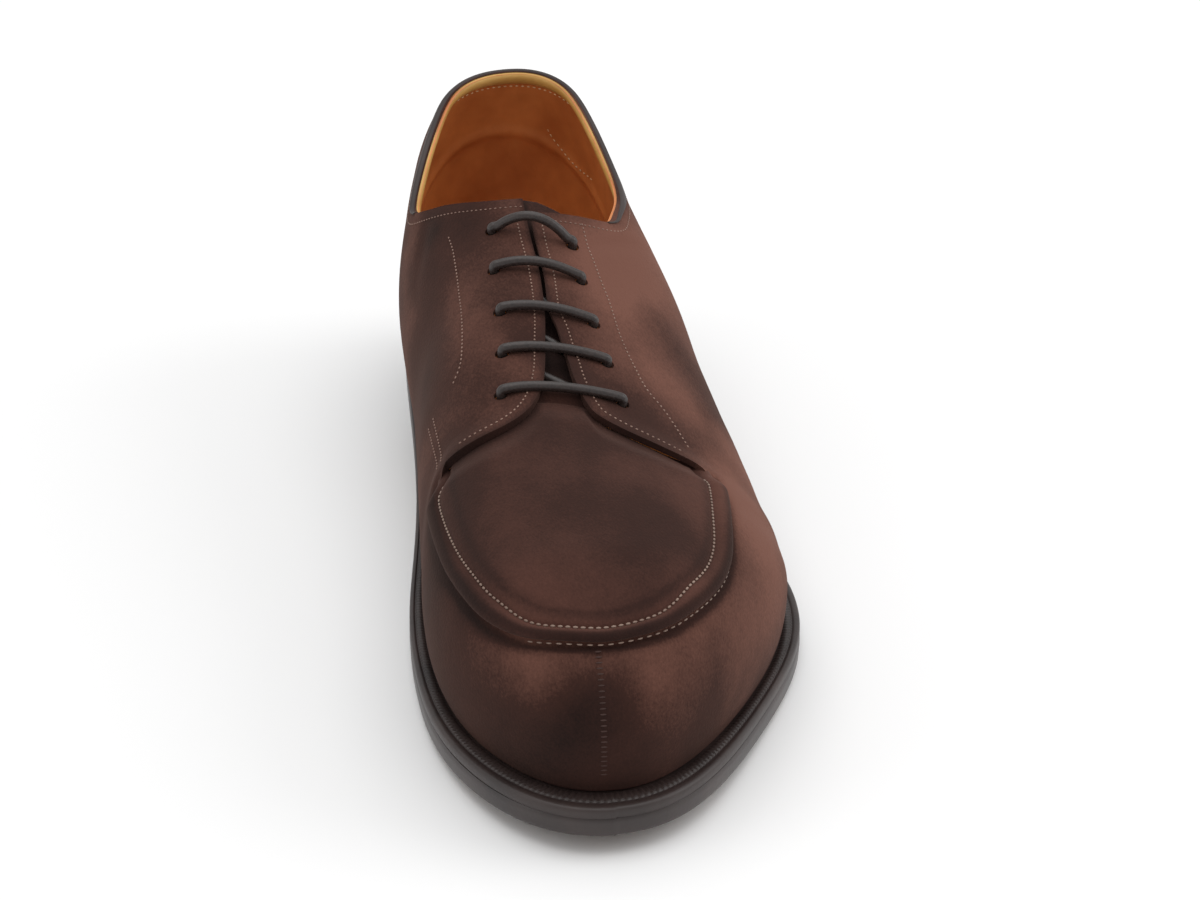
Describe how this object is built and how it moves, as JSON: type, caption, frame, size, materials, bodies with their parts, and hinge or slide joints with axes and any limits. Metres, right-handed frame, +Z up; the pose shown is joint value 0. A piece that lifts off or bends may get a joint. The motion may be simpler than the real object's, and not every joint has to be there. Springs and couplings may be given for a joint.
{
  "type": "apron toe derby shoe",
  "caption": "Left shoe of a men's lace-up derby: hollow suede upper with a raised apron toe, straight-laced open facings, tongue, welt, leather sole and low stacked heel.",
  "frame": {"origin": "middle of the bounding box in plan, on the ground that the heel and the forefoot stand on", "axes": "+Y runs from the toe to the heel along the length, so the toe points to -Y; +X is the lateral (outer) side of the left foot; +Z is up"},
  "size_m": [0.1056, 0.3068, 0.0981],
  "materials": {
    "sole_leather": "dyed and waxed edge, satin",
    "welt_leather": "dyed, wheeled top, satin",
    "sock_leather": "smooth, semi matt",
    "top_piece_rubber": "matt",
    "upper_suede": "napped suede, matt",
    "tongue_suede": "napped suede, matt",
    "lace_cord": "waxed round cord, dull"
  },
  "bodies": {
    "root": {"outsole": "sole_leather", "welt": "welt_leather", "insole": "sock_leather", "heel_stack": "sole_leather", "heel_top_piece": "top_piece_rubber", "upper": "upper_suede", "tongue": "tongue_suede", "lace_bar_1": "lace_cord", "lace_bar_2": "lace_cord", "lace_bar_3": "lace_cord", "lace_bar_4": "lace_cord", "lace_bar_5": "lace_cord"}
  },
  "joints": []
}
